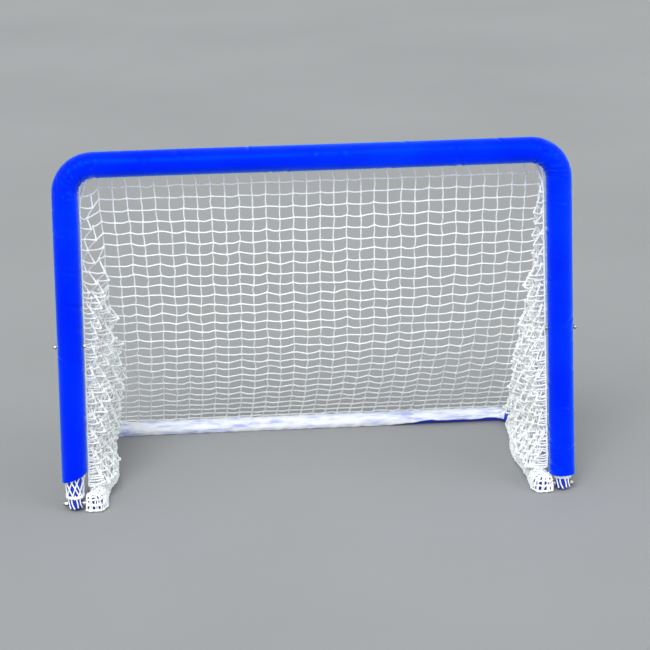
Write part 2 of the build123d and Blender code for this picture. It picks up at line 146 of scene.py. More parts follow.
class Bundle:
    """Closed shells gathered into one mesh."""

    def __init__(self):
        self.points = []
        self.faces = []
        self.count = 0

    def shell(self, points, faces):
        self.points.append(np.asarray(points, float))
        self.faces += [tuple(i + self.count for i in face) for face in faces]
        self.count += len(points)

    def cord(self, line, radius, sides=6, twist=0.0, lobes=0, lobe_depth=0.0):
        """A tube along a line, capped at both ends. Lobes that turn with it make strands."""
        line = np.asarray(line, float)
        tangent = unit(np.gradient(line, axis=0))
        helper = np.eye(3)[np.argmin(np.abs(tangent[0]))]
        normal = unit(np.cross(tangent[0], helper))
        normals = []
        for way in tangent:
            normal = unit(normal - way * (normal @ way))
            normals.append(normal)
        normals = np.array(normals)
        across = np.cross(tangent, normals)
        run = np.concatenate([[0], np.cumsum(np.linalg.norm(np.diff(line, axis=0), axis=1))])
        angle = np.linspace(0, 2 * np.pi, sides, endpoint=False)[None, :] + 0 * run[:, None]
        size = np.asarray(radius) * (1 + lobe_depth * np.cos(lobes * angle + twist * run[:, None]))
        ring = line[:, None] + size[..., None] * (
            np.cos(angle)[..., None] * normals[:, None] + np.sin(angle)[..., None] * across[:, None]
        )
        faces = []
        for i in range(len(line) - 1):
            for k in range(sides):
                m = (k + 1) % sides
                faces.append((i * sides + k, i * sides + m, (i + 1) * sides + m, (i + 1) * sides + k))
        last = (len(line) - 1) * sides
        faces.append(tuple(range(sides))[::-1])
        faces.append(tuple(range(last, last + sides)))
        self.shell(ring.reshape(-1, 3), faces)

    def laid(self, line, radius, twist):
        """A rope of three strands laid together."""
        self.cord(line, radius, sides=12, twist=twist, lobes=3, lobe_depth=0.14)

    def knot(self, place, radius):
        """A small rounded knot, a little uneven."""
        points = [(0, 0, 1.0)]
        for height, spread in ((0.55, 0.84), (-0.55, 0.84)):
            for k in range(6):
                turn = math.pi * k / 3 + (0.5 if height < 0 else 0.0)
                points.append((spread * math.cos(turn), spread * math.sin(turn), height))
        points.append((0, 0, -1.0))
        faces = [(0, 1 + k, 1 + (k + 1) % 6) for k in range(6)]
        for k in range(6):
            m = (k + 1) % 6
            faces += [(1 + k, 7 + k, 1 + m), (1 + m, 7 + k, 7 + m)]
            faces.append((13, 7 + m, 7 + k))
        stretch = 1 + dice.uniform(-0.15, 0.15, 3)
        self.shell(np.array(place) + np.array(points) * radius * stretch, faces)

    def piece(self, name, material, slot):
        return make_piece(name, np.vstack(self.points), self.faces, material)


# ------------------------------------------------------------------ materials
class Shader:
    """A node material with short calls for what every surface here needs."""

    def __init__(self, name, roughness=0.5, **sockets):
        self.material = bpy.data.materials.new(name)
        self.material.use_nodes = True
        self.tree = self.material.node_tree
        self.surface = self.tree.nodes["Principled BSDF"]
        self.surface.inputs["Roughness"].default_value = roughness
        for socket, value in sockets.items():
            self.surface.inputs[socket.replace("_", " ")].default_value = value
        self.place = self.tree.nodes.new("ShaderNodeTexCoord").outputs["Object"]

    def noise(self, scale, detail=4.0, stretch=(1, 1, 1)):
        spread = self.tree.nodes.new("ShaderNodeMapping")
        spread.inputs["Scale"].default_value = stretch
        self.tree.links.new(self.place, spread.inputs["Vector"])
        node = self.tree.nodes.new("ShaderNodeTexNoise")
        node.inputs["Scale"].default_value = scale
        node.inputs["Detail"].default_value = detail
        self.tree.links.new(spread.outputs["Vector"], node.inputs["Vector"])
        return node.outputs["Fac"]

    def cells(self, scale):
        node = self.tree.nodes.new("ShaderNodeTexVoronoi")
        node.inputs["Scale"].default_value = scale
        self.tree.links.new(self.place, node.inputs["Vector"])
        return node.outputs["Distance"]

    def bands(self, scale, way, warp=0.0):
        node = self.tree.nodes.new("ShaderNodeTexWave")
        node.bands_direction = way
        node.inputs["Scale"].default_value = scale
        node.inputs["Distortion"].default_value = warp
        self.tree.links.new(self.place, node.inputs["Vector"])
        return node.outputs["Fac"]

    def maths(self, kind, a, b):
        node = self.tree.nodes.new("ShaderNodeMath")
        node.operation = kind
        for socket, value in zip(node.inputs, (a, b)):
            if isinstance(value, (int, float)):
                socket.default_value = value
            else:
                self.tree.links.new(value, socket)
        return node.outputs[0]

    def ramp(self, value, stops):
        node = self.tree.nodes.new("ShaderNodeValToRGB")
        elements = node.color_ramp.elements
        while len(elements) < len(stops):
            elements.new(0.5)
        for element, (position, color) in zip(elements, stops):
            element.position = position
            element.color = (*color, 1.0)
        self.tree.links.new(value, node.inputs["Fac"])
        return node.outputs["Color"]

    def color(self, value, stops):
        self.tree.links.new(self.ramp(value, stops), self.surface.inputs["Base Color"])

    def roughness(self, value, low, high):
        node = self.tree.nodes.new("ShaderNodeMapRange")
        node.inputs["To Min"].default_value = low
        node.inputs["To Max"].default_value = high
        self.tree.links.new(value, node.inputs["Value"])
        self.tree.links.new(node.outputs["Result"], self.surface.inputs["Roughness"])

    def bump(self, *layers):
        """Each layer is (height, strength, distance in metres), the coarsest first."""
        normal = None
        for height, strength, distance in layers:
            node = self.tree.nodes.new("ShaderNodeBump")
            node.inputs["Strength"].default_value = strength
            node.inputs["Distance"].default_value = distance
            self.tree.links.new(height, node.inputs["Height"])
            if normal is not None:
                self.tree.links.new(normal, node.inputs["Normal"])
            normal = node.outputs["Normal"]
        self.tree.links.new(normal, self.surface.inputs["Normal"])


def vinyl():
    s = Shader("blue_vinyl", Specular_IOR_Level=0.20, Sheen_Weight=0.6, Sheen_Roughness=0.38)
    s.surface.inputs["Sheen Tint"].default_value = (0.0, 0.70, 1.0, 1.0)
    s.surface.inputs["Specular Tint"].default_value = (0.0, 0.55, 1.0, 1.0)
    deep, blue, pale = (0.0, 0.006, 0.72), (0.0, 0.014, 0.86), (0.0, 0.028, 0.98)
    s.color(s.noise(5, 6), [(0.25, deep), (0.5, blue), (0.75, pale)])
    s.roughness(s.noise(22, 5), 0.30, 0.44)
    weave = s.maths("ADD", s.bands(260, "X"), s.bands(260, "Z"))
    s.bump((s.noise(26, 4), 0.35, 0.0025), (s.cells(620), 0.25, 0.0003), (weave, 0.10, 0.00015))
    return s.material


def blue_steel():
    s = Shader("blue_steel", Specular_IOR_Level=0.35, Coat_Weight=0.25, Coat_Roughness=0.15)
    dark, paint, worn = (0.0, 0.020, 0.40), (0.002, 0.034, 0.62), (0.012, 0.07, 0.72)
    s.color(s.noise(14, 8), [(0.3, dark), (0.55, paint), (0.8, worn)])
    s.roughness(s.noise(60, 6), 0.22, 0.42)
    s.bump((s.noise(330, 2), 0.25, 0.0004))
    return s.material


def zinc(name, tint):
    s = Shader(name, Metallic=1.0)
    dark = tuple(0.55 * c for c in tint)
    s.color(s.noise(90, 6), [(0.3, dark), (0.6, tint), (0.85, tuple(min(1.0, 1.15 * c) for c in tint))])
    s.roughness(s.noise(240, 5), 0.3, 0.55)
    s.bump((s.noise(700, 4, (1, 8, 8)), 0.3, 0.0001))
    return s.material


def moulded(name, dark, light):
    s = Shader(name)
    s.color(s.noise(30, 5), [(0.3, dark), (0.7, light)])
    s.roughness(s.noise(120, 4), 0.45, 0.7)
    s.bump((s.noise(900, 3), 0.3, 0.00012))
    return s.material


def foam():
    s = Shader("closed_cell_foam")
    # The colour is painted shade in the pores and a painted highlight on the cell rims. These follow the
    # same cells that the bump below sinks and raises.
    pore_shade, wall, rim = (0.012, 0.012, 0.014), (0.05, 0.05, 0.055), (0.09, 0.09, 0.095)
    s.color(s.cells(500), [(0.1, pore_shade), (0.6, wall), (0.9, rim)])
    s.roughness(s.noise(200, 3), 0.75, 0.95)
    s.bump((s.cells(500), 0.8, 0.0008), (s.noise(1500, 2), 0.4, 0.0002))
    return s.material


def cord_fibre(name, warm):
    s = Shader(name, Sheen_Weight=0.25, Sheen_Roughness=0.5)
    low = (0.74, 0.78, 0.78 - 0.06 * warm)
    s.color(s.noise(38, 6), [(0.25, low), (0.5, (0.91, 0.94, 0.93)), (0.8, (0.97, 0.99, 0.99))])
    s.roughness(s.noise(160, 4), 0.5, 0.75)
    braid = s.maths("ADD", s.bands(420, "DIAGONAL"), s.bands(300, "Z", 2.0))
    s.bump((braid, 0.5, 0.0004), (s.noise(1400, 3), 0.3, 0.00015))
    return s.material


def woven():
    s = Shader("woven_hem", Sheen_Weight=0.2)
    # The tape itself is white. The blue in this colour ramp is painted bluish shade and sky reflection,
    # laid in streaks along the tape.
    shade_streak = s.noise(16, 6, (1, 6, 6))
    s.color(shade_streak, [(0.30, (0.42, 0.48, 0.86)), (0.43, (0.72, 0.77, 0.96)), (0.56, (0.92, 0.94, 0.98))])
    s.roughness(s.noise(90, 4), 0.55, 0.8)
    weave = s.maths("MULTIPLY", s.bands(380, "X"), s.bands(380, "Y"))
    s.bump((s.noise(40, 4), 0.4, 0.0015), (weave, 0.5, 0.0003))
    return s.material


def loop_tape():
    s = Shader("hook_and_loop", Sheen_Weight=0.5)
    s.color(s.noise(260, 6), [(0.3, (0.002, 0.010, 0.16)), (0.7, (0.006, 0.035, 0.42))])
    s.roughness(s.noise(300, 3), 0.8, 1.0)
    s.bump((s.noise(1300, 4), 0.9, 0.0006), (s.cells(900), 0.6, 0.0004))
    return s.material


def floor_paint():
    s = Shader("studio_floor")
    s.color(s.noise(0.6, 3), [(0.3, (0.30, 0.305, 0.305)), (0.7, (0.33, 0.335, 0.335))])
    s.roughness(s.noise(3, 3), 0.8, 0.95)
    return s.material


LOOKS = {
    "blue_vinyl": vinyl(),
    "blue_steel": blue_steel(),
    "plated_steel": zinc("plated_steel", (0.58, 0.59, 0.60)),
    "zinc_hardware": zinc("zinc_hardware", (0.40, 0.41, 0.41)),
    "plug_plastic": moulded("plug_plastic", (0.01, 0.03, 0.30), (0.02, 0.06, 0.48)),
    "pad_foam": foam(),
    "net_cord": cord_fibre("net_cord", 0.0),
    "edge_rope": cord_fibre("edge_rope", 1.0),
    "woven_hem": woven(),
    "hook_and_loop": loop_tape(),
}
for part in frame["record"]["subparts"]:
    cad = frame["nodes"][part["node"]]
    cad.data.materials.clear()
    cad.data.materials.append(LOOKS[part["material_slot"]])


# ------------------------------------------------------------------ padded cover
def hoop_route():
    """(place, way, bend) along the padded hoop's axis, from the pad's left end to its right end.

    Bend is 0 on a post, 1 on the crossbar and between the two in a corner.
    """
    step, bend_steps = 0.004, 34
    lean = math.atan2(FOOT_X - TOP_X, CROSSBAR_Z - PIVOT_Z)
    turn = math.pi / 2 - lean
    cut = HOOP_BEND_R * math.tan(turn / 2)
    down = Vector((math.sin(lean), 0, -math.cos(lean)))
    corner = Vector((TOP_X, POST_Y, CROSSBAR_Z))
    bend_low = corner + down * cut
    centre = Vector((TOP_X - cut, POST_Y, CROSSBAR_Z - HOOP_BEND_R))
    places = []
    for name, side in SIDES.items():
        low = PAD_ENDS[name]
        half = []
        span = (bend_low.z - low) / math.cos(lean)
        for t in np.linspace(1, 0, int(span / step)):
            half.append((bend_low + down * span * t, down, 0.0))
        for t in np.linspace(0, 1, bend_steps)[1:]:
            a = t * math.pi / 2 - lean * (1 - t)
            out = Vector((math.cos(a), 0, math.sin(a)))
            half.append((centre + out * HOOP_BEND_R, Vector((math.sin(a), 0, -math.cos(a))), t))
        for x in np.linspace(TOP_X - cut, 0, int((TOP_X - cut) / step))[1:]:
            half.append((Vector((x, POST_Y, CROSSBAR_Z)), Vector((1, 0, 0)), 1.0))
        half = [(Vector((side * p.x, p.y, p.z)), Vector((side * d.x, d.y, d.z)), t) for p, d, t in half]
        if side < 0:
            places += [(p, -d, t) for p, d, t in half]
        else:
            places += half[::-1][1:]
    return places


def pleats(run, turn, near, inner, front):
    """How far the skin stands in or out through the bends, where it bunches up on the inner side."""
    fan = 0.016 * np.cos(turn) + 0.003 * np.sin(3 * turn + 40 * run)
    phase = np.pi * (run + fan) / 0.0176 + 1.2 * np.sin(59 * run) + 0.7 * np.sin(143 * run + 1)
    fold = np.abs(np.sin(phase)) ** 0.6
    uneven = 0.72 + 0.28 * np.sin(97 * run + 2)
    small = np.abs(np.sin(2.3 * phase + 2.5 * np.sin(2 * turn)))
    depth = (0.0007 + 0.0062 * inner**1.1 + 0.0022 * front) * uneven
    return near * (0.30 * depth * fold - depth * (1 - fold) - 0.0011 * (1 - small) * (0.3 + 0.7 * inner))


def creases(run, turn):
    """Short cross creases and drags scattered over the straight runs."""
    count = 90
    shift = np.zeros(np.broadcast(run, turn).shape)
    for place in np.cumsum(dice.uniform(0.022, 0.085, count)):
        aim = dice.uniform(0, 2 * np.pi)
        spread = dice.uniform(0.4, 1.2)
        slope = dice.uniform(-0.016, 0.016)
        depth = dice.uniform(0.0008, 0.0030)
        width = dice.uniform(0.0030, 0.0075)
        gap = np.angle(np.exp(1j * (turn - aim)))
        line = run - place - slope * gap
        around = np.exp(-((gap / spread) ** 2))
        ridge, valley = np.exp(-((line / width - 1.7) ** 2)), np.exp(-((line / width) ** 2))
        shift += depth * around * (0.6 * ridge - valley)
    return shift


def pucker(height, turn, z, depth):
    """A V where the sleeve has been pulled towards one spot on the front of a post."""
    gap = np.angle(np.exp(1j * (turn - 1.5 * np.pi)))
    arm = height - z - 0.010 * np.abs(gap) / 0.8
    around = np.exp(-((gap / 0.95) ** 2))
    return depth * around * (0.7 * np.exp(-((arm / 0.005 - 1.8) ** 2)) - np.exp(-((arm / 0.004) ** 2)))


def cover_skin():
    """Rings of the skin all along the hoop: pleats in the bends, creases on the runs, a hem at each end."""
    sides = 128
    right_pucker, left_pucker = 0.118, 0.775
    band, groove, slant_run = 0.017, 0.018, 0.06
    places = hoop_route()
    centre = np.array([p for p, d, t in places])
    along = unit(np.array([d for p, d, t in places]))
    bend = np.array([t for p, d, t in places])
    length = np.concatenate([[0], np.cumsum(np.linalg.norm(np.diff(centre, axis=0), axis=1))])
    run = length[:, None]
    back = np.array([0, 1.0, 0])
    inward = unit(np.cross(back, along))
    turn = np.linspace(0, 2 * np.pi, sides, endpoint=False)[None, :]
    ways = np.cos(turn)[..., None] * inward[:, None] + np.sin(turn)[..., None] * back
    inner = np.clip(0.5 + 0.5 * np.cos(turn), 0, 1)
    front = np.clip(-np.sin(turn), 0, 1)
    behind = 1 - 0.8 * np.clip(np.sin(turn), 0, 1)

    in_bend = ((bend > 0) & (bend < 1)).astype(float)
    near = np.convolve(in_bend, np.hanning(25) / np.hanning(25).sum(), "same")[:, None]
    height = centre[:, 2:3]
    on_post = (bend == 0)[:, None]
    right = (centre[:, 0] > 0)[:, None]
    shift = behind * pleats(run, turn, near, inner, front)
    shift = shift + behind * (1 - near) * creases(run, turn)
    shift += (1 - near) * behind * 0.0006 * np.sin(3 * turn + 5 * run)
    shift += on_post * right * pucker(height, turn, right_pucker, 0.0026)
    shift += on_post * ~right * pucker(height, turn, left_pucker, 0.0016)

    # A pinch where the post pads meet the crossbar pad, and one where each bolt pulls the cover in.
    shift -= on_post * 0.0008 * np.exp(-(((height - PAD_SPLIT_Z) / 0.004) ** 2))
    shift -= on_post * 0.0010 * np.exp(-(((height - POST_BOLT_Z) / 0.012) ** 2)) * np.abs(np.cos(turn)) ** 8

    # Turned hem at both ends: a thicker band with a stitched groove above it.
    for end in (run, length[-1] - run):
        shift = shift + 0.0007 * (end < band) - 0.0008 * np.exp(-(((end - groove) / 0.0012) ** 2))
        shift = shift + 0.0005 * np.exp(-((end / 0.02) ** 2)) * np.sin(5 * turn + 1)
    radius = PAD_R - 0.0005 + shift
    points = centre[:, None] + radius[..., None] * ways
    # The left end hangs lower on its outer side.
    leaning = (1 - np.clip(length / slant_run, 0, 1))[:, None] * ways[..., 0] * radius
    points[..., 2] += leaning * LEFT_SLANT
    return centre, points, ways, radius


def sleeve(name, outside, inside, material):
    """A closed sleeve between two skins of rings."""
    rings, sides = outside.shape[:2]
    verts = np.concatenate([outside.reshape(-1, 3), inside.reshape(-1, 3)])
    shift = rings * sides
    faces = []
    for i in range(rings - 1):
        for k in range(sides):
            m = (k + 1) % sides
            a, b, c, d = i * sides + k, i * sides + m, (i + 1) * sides + m, (i + 1) * sides + k
            faces += [(a, d, c, b), (a + shift, b + shift, c + shift, d + shift)]
    last = (rings - 1) * sides
    for k in range(sides):
        m = (k + 1) % sides
        faces.append((k, m, m + shift, k + shift))
        faces.append((last + m, last + k, last + k + shift, last + m + shift))
    return make_piece(name, verts, faces, material)


def padded_frame():
    centre, skin, ways, radius = cover_skin()
    wall, ease = 0.0009, 0.0003
    cover = sleeve("padded_cover", skin, skin - wall * ways, LOOKS["blue_vinyl"])
    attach(cover, "front_frame")
    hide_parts("vinyl_cover")

    # The foam fills the skin, pleats and all, down to the tube. It ends a little inside the cover.
    lag = skin - centre[:, None] - radius[..., None] * ways
    bore = centre[:, None] + (TUBE_R + ease) * ways + lag * (TUBE_R / PAD_R)
    outer = skin - (wall + ease) * ways
    low_left, low_right = 2, len(centre) - 3
    split_left = int(np.argmax(centre[:, 2] > PAD_SPLIT_Z))
    split_right = len(centre) - 1 - int(np.argmax(centre[::-1, 2] > PAD_SPLIT_Z))
    spans = {
        "left_post_foam": (low_left, split_left),
        "crossbar_foam": (split_left, split_right),
        "right_post_foam": (split_right, low_right),
    }
    for node, (first, last) in spans.items():
        stretch = slice(first, last + 1)
        foam_pad = sleeve(f"{node}_pad", outer[stretch], bore[stretch], LOOKS["pad_foam"])
        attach(foam_pad, "front_frame")
        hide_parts(node)


padded_frame()


# ------------------------------------------------------------------ net
def back_profile(v):
    """(y, z) of the back panel at v, from 0 at the head to 1 at the rear bar."""
    start, finish = np.array([HEAD_Y, NET_TOP]), np.array([TAIL_Y, TAIL_Z])
    chord = finish - start
    length = np.linalg.norm(chord)
    below = np.array([chord[1], -chord[0]]) / length
    radius = NET_SAG / 2 + length**2 / (8 * NET_SAG)
    centre = (start + finish) / 2 + below * (NET_SAG - radius)
    half = math.asin(length / 2 / radius)
    turn = (2 * v - 1) * half
    return centre + radius * (math.cos(turn) * below + math.sin(turn) * chord / length)


def back_grid():
    """Knots of the back panel, row by row from the head."""
    uneven = 0.0011
    grid = np.zeros((ROWS + 1, COLUMNS + 1, 3))
    for j in range(ROWS + 1):
        v = j / ROWS
        y, z = back_profile(v)
        for i in range(COLUMNS + 1):
            u = i / COLUMNS
            rise = min(1.0, max(0.0, (z - CROSSBAR_Z + HOOP_BEND_R) / HOOP_BEND_R))
            corner = NET_RIGHT - HOOP_BEND_R * (1 - math.sqrt(1 - rise**2))
            left = max(-corner, NET_LEFT + 0.018 * math.sin(math.pi * v) - 0.014 * v)
            right = min(corner, NET_RIGHT - 0.002 * v)
            belly = 0.014 * math.sin(math.pi * u) * math.sin(math.pi * v)
            swing = 0.004 * math.sin(2.2 * math.pi * v + 5 * u)
            x = left + (right - left) * u + swing * math.sin(math.pi * u)
            zigzag = 0.0022 * (-1) ** i
            held = min(1.0, 4 * v, 6 * (1 - v))
            grid[j, i] = (x, y - 0.86 * belly, z - 0.5 * belly + zigzag * held)
            grid[j, i] += dice.normal(0, uneven, 3) * held
    return grid


def strand(bundle, knots, droop, steps=3, radius=CORD_R):
    """One cord through a row of knots, slack between them. Returns its length."""
    knots = np.asarray(knots)
    middles = (knots[:-1] + knots[1:]) / 2 + dice.normal(0, 0.0010, (len(knots) - 1, 3))
    middles[:, 2] -= droop * dice.uniform(0.2, 1.0, len(middles))
    line = np.empty((2 * len(knots) - 1, 3))
    line[0::2], line[1::2] = knots, middles
    line = through(line, steps)
    bundle.cord(line, radius)
    return float(np.linalg.norm(np.diff(line, axis=0), axis=1).sum())


def blend_net(piece):
    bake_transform(piece)


def back_net():
    grid = back_grid()
    bundle = Bundle()
    length = sum(strand(bundle, row, 0.0014) for row in grid)
    length += sum(strand(bundle, grid[:, i], 0.0) for i in range(COLUMNS + 1))
    for place in grid.reshape(-1, 3):
        bundle.knot(place, KNOT_R)
    piece = bundle.piece("back_netting", LOOKS["net_cord"], "net_cord")
    blend_net(piece)
    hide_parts("back_net")
    return grid


BACK = back_net()


def border_x(side, z):
    """How far out the edge rope runs down a post: just inside and behind the pad."""
    return side * (post_x(z) - EDGE_INSET)


def columns_at(side, depth, step, stagger):
    """How far behind the post each column of knots stands. Both panels are bunched up near the post."""
    bunch = (0.016, 0.038, 0.062, 0.092) if side < 0 else (0.010, 0.021, 0.034, 0.052)
    places = [0.0] + [p + 0.010 * stagger for p in bunch]
    while places[-1] + step < depth - 0.010:
        places.append(places[-1] + step)
    return [p for p in places if p < depth - 0.008] or [0.0]


def side_rows(side, first, inset, step, swing, stagger):
    """Rows of knots from the post's edge rope to the back panel, from the first row asked for down."""
    edge = BACK[:, 0] if side < 0 else BACK[:, -1]
    rows = []
    for j in range(first, ROWS + 1):
        v = j / ROWS
        rear = edge[j]
        z = max(EDGE_BOTTOM, EDGE_TOP - (EDGE_TOP - EDGE_BOTTOM) * (v + stagger / ROWS))
        front = np.array([border_x(side, z), EDGE_Y, z])
        depth = rear[1] - front[1]
        low = min(1.0, max(0.0, (TUCK_TOP - z) / TUCK_RISE))
        row = []
        for k, offset in enumerate(columns_at(side, depth, step, stagger)):
            t = offset / depth
            point = front + (rear - front) * t
            held = min(1.0, 0.75 * k) * min(1.0, (1 - t) * depth / 0.03)
            slack = 0.003 + 0.008 * math.sin(math.pi * v)
            wave = math.sin(1.3 * k + 0.5 * j + side + 60 * inset) + 0.5 * math.sin(0.7 * k - 0.31 * j)
            tuck = low * min(1.0, max(0.0, (TUCK_BACK - offset) / TUCK_FADE))
            diamond = swing * (-1) ** (k + j) * (1 - 0.6 * tuck)
            point[0] -= side * held * (slack * (1 + wave) + diamond + inset + TUCK_IN * tuck)
            point[1] += 0.7 * swing * held * (-1) ** (k + j + 1)
            point[2] -= (0.012 * math.sin(math.pi * t) + 0.8 * inset * held) * (1 - 0.6 * v)
            point += dice.normal(0, 0.0012, 3) * held
            point[2] = max(point[2], SIDE_NET_LOWEST)
            row.append(point)
        row.append(rear)
        rows.append(row)
    return rows


def weave_rows(bundle, rows, droop, radius):
    """Cords along the rows and down the columns, with a knot wherever they cross."""
    for row in rows:
        if len(row) > 1:
            strand(bundle, row, droop, radius=radius)
    for k in range(max(len(row) for row in rows) - 1):
        column = [row[k] for row in rows if len(row) - 1 > k]
        if len(column) > 1:
            strand(bundle, column, 0.0, radius=radius)
    for row in rows:
        for place in row[1:-1]:
            bundle.knot(place, KNOT_R * radius / CORD_R)


def side_net(name, side):
    bundle = Bundle()
    # The slack lies in folds: one layer above and up to four lower down, the inner ones bunched closer.
    for first, inset, step, swing, stagger, radius in (
        (0, 0.0, 0.034, 0.0085, 0.0, 1.2 * CORD_R),
        (11, 0.004, 0.028, 0.0070, 0.5, 1.15 * CORD_R),
        (16, 0.010, 0.024, 0.0065, 0.25, 1.3 * CORD_R),
        (20, 0.016, 0.021, 0.0060, 0.75, 1.4 * CORD_R),
    ):
        weave_rows(bundle, side_rows(side, first, inset, step, swing, stagger), 0.004, radius)
    piece = bundle.piece(f"{name}_side_netting", LOOKS["net_cord"], "net_cord")
    blend_net(piece)
    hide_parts(f"{name}_side_net")


for name, side in SIDES.items():
    side_net(name, side)


# ------------------------------------------------------------------ skirts over the side bars
# Stations of each skirt from the rear bar to the foot: how far its line runs outside the side bar's axis
# and behind the posts, which way it falls (0 to the middle, 90 to the front) and how far from the line
# it meets the ground. The line follows the bar's axis, and turns out towards the foot at the nose.
SKIRT_NOSE = [
    (0.0, 0.028, 0, 0.026), (0.0, 0.002, 8, 0.0255), (0.002, -0.007, 50, 0.0215),
    (0.011, -0.008, 85, 0.0165), (0.022, -0.006, 100, 0.015),
]
SKIRT_STATIONS = {
    "left": [
        (-0.001, 0.528, 8, 0.027), (0.0, 0.473, 0, 0.033), (0.0, 0.403, 0, 0.040), (0.0, 0.283, 0, 0.048),
        (0.0, 0.198, 0, 0.048), (0.0, 0.133, 0, 0.031), (0.0, 0.068, 0, 0.026), *SKIRT_NOSE,
    ],
    "right": [
        (-0.001, 0.515, 8, 0.025), (0.0, 0.473, 0, 0.025), (0.0, 0.403, 0, 0.027), (0.0, 0.303, 0, 0.040),
        (0.0, 0.213, 0, 0.037), (0.0, 0.133, 0, 0.027), (0.0, 0.068, 0, 0.025), *SKIRT_NOSE,
    ],
}
# Lines along the skirt: outer side of the bar, its top, its shoulder, the fall, and the ground edge.
# Each is a distance from the stations' line and a height. A distance outwards is below zero and in
# metres, and one inwards is a share of the way to where the skirt meets the ground.
SKIRT_LINES = ((-0.0155, 0.0355), (-0.006, 0.0420), (0.36, 0.0405), (0.80, 0.027), (1.0, 0.0055))
SKIRT_LIFTS = (0.0018, 0.0040, 0.0072)  # of each layer over the bar
SKIRT_LOWEST = 0.0046
NOSE_LENGTH = 0.062         # the top layer stops short of the nose of the bar


def skirt_lines(name, side, lift):
    """The lines of one layer. The ground edge is lifted least."""
    lines = []
    for distance, height in SKIRT_LINES:
        line = []
        for outside, behind, angle, reach in SKIRT_STATIONS[name]:
            way = np.array([-side * math.cos(math.radians(angle)), -math.sin(math.radians(angle))])
            away = distance * (reach + 0.5 * lift) if distance > 0 else distance
            place = np.array([side * (BAR_X + outside), POST_Y + behind]) + way * away
            line.append((*place, height + lift * (0.2 if distance == 1.0 else 1.0)))
        lines.append(through(line, 10))
    return lines


def skirt(name, side):
    bundle = Bundle()
    cells, across = 42, 6
    radius = 1.15 * CORD_R
    for layer, lift in enumerate(SKIRT_LIFTS):
        lines = skirt_lines(name, side, lift)
        sections = []
        run = np.concatenate([[0], np.cumsum(np.linalg.norm(np.diff(lines[3], axis=0), axis=1))])
        reach = run[-1] if layer < 2 else run[-1] - NOSE_LENGTH
        for b in range(cells + 1):
            at = int(np.argmin(np.abs(run - min(1.0, (b + 0.33 * layer) / cells) * reach)))
            section = through([line[at] for line in lines], 12)
            row = []
            for a in range(across + 1):
                t = min(1.0, (a + 0.3 * layer) / across)
                point = section[int(round(t * (len(section) - 1)))].copy()
                point[1] += 0.0026 * (-1) ** (a + b) * (0 < b < cells)
                point += dice.normal(0, 0.0008, 3)
                point[2] = max(point[2], SKIRT_LOWEST)
                row.append(point)
            sections.append(row)
        for row in sections:
            strand(bundle, row, 0.0, 2, radius)
        for a in range(across + 1):
            strand(bundle, [row[a] for row in sections], 0.0, 2, radius)
        for row in sections:
            for place in row:
                bundle.knot(place, 0.75 * KNOT_R)
    piece = bundle.piece(f"{name}_skirt_netting", LOOKS["net_cord"], "net_cord")
    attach(piece, "ground_frame")

    rope = Bundle()
    edge = skirt_lines(name, side, 0.0)[-1]
    rope.laid(through(edge[::5], 8), SKIRT_CORD_R, SKIRT_CORD_TWIST)
    cord = rope.piece(f"{name}_skirt_cord", LOOKS["edge_rope"], "edge_rope")
    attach(cord, "ground_frame")


for name, side in SIDES.items():
    skirt(name, side)


# ------------------------------------------------------------------ ropes, ties and lashings
def border_rope():
    """One rope up a post, round the top corner, along the head and down the other post."""
    half = [(border_x(1, z), EDGE_Y, z) for z in (0.19, 0.30, 0.42, 0.60, 0.76, 0.84)]
    half += [(0.601, HEAD_Y - 0.006, 0.882), (0.586, HEAD_Y, 0.922), (0.556, HEAD_Y, 0.946)]
    half += [(x, HEAD_Y, CROSSBAR_Z) for x in (0.50, 0.30, 0.10)]
    left = [(-x, y, z) for x, y, z in half]
    line = through(left + half[::-1], 24)
    rope = Bundle()
    rope.laid(line, ROPE_R, ROPE_TWIST)
    piece = rope.piece("border_rope", LOOKS["edge_rope"], "edge_rope")
    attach(piece, "front_frame")
    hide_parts("net_head_rope", "net_post_ropes")


def ties():
    """Short cords that hold the border rope to the back of the padded frame."""
    bundle = Bundle()
    around = PAD_R + CORD_R + 0.0004
    post_from, post_to = math.radians(143), math.radians(84)
    head_from, head_to = math.radians(90), math.radians(52)
    for side in SIDES.values():
        for z in np.arange(0.21, 0.86, TIE_GAP):
            line = []
            for turn in np.linspace(post_from, post_to, 9):
                x = side * (post_x(z) + around * math.cos(turn))
                line.append((x, POST_Y + around * math.sin(turn), z))
            start = (border_x(side, z), HEAD_Y - 0.008, z - 0.002)
            bundle.cord(through([start] + line[2:], 3), CORD_R, sides=8)
            bundle.knot(start, TIE_KNOT_R)
    for x in np.arange(-0.525, 0.53, TIE_GAP):
        line = []
        for turn in np.linspace(head_from, head_to, 8):
            y = POST_Y + around * math.sin(turn) + 0.0024
            line.append((x, y, CROSSBAR_Z + around * math.cos(turn)))
        bundle.cord(through([(x, HEAD_Y + 0.003, CROSSBAR_Z - 0.003)] + line[1:], 3), CORD_R, sides=8)
        bundle.knot((x, HEAD_Y + 0.002, CROSSBAR_Z - 0.002), TIE_KNOT_R)
    piece = bundle.piece("net_ties", LOOKS["edge_rope"], "edge_rope")
    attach(piece, "front_frame")


def side_ropes():
    """The rope that the side panels end in, over each side bar."""
    rope = Bundle()
    low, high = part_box("net_side_ropes")
    z = (low.z + high.z) / 2
    for side in SIDES.values():
        line = []
        for k, y in enumerate(np.linspace(low.y, high.y, 9)):
            line.append((side * (BAR_X + 0.002 * math.sin(9 * k)), y, z))
        rope.laid(through(line, 20), ROPE_R, ROPE_TWIST)
    piece = rope.piece("side_ropes", LOOKS["edge_rope"], "edge_rope")
    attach(piece, "ground_frame")
    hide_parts("net_side_ropes")


def by_post(side, turn, around, z):
    """The point at that turn round a post's axis and that far from it."""
    return (side * post_x(z) + around * math.cos(turn), POST_Y + around * math.sin(turn), z)


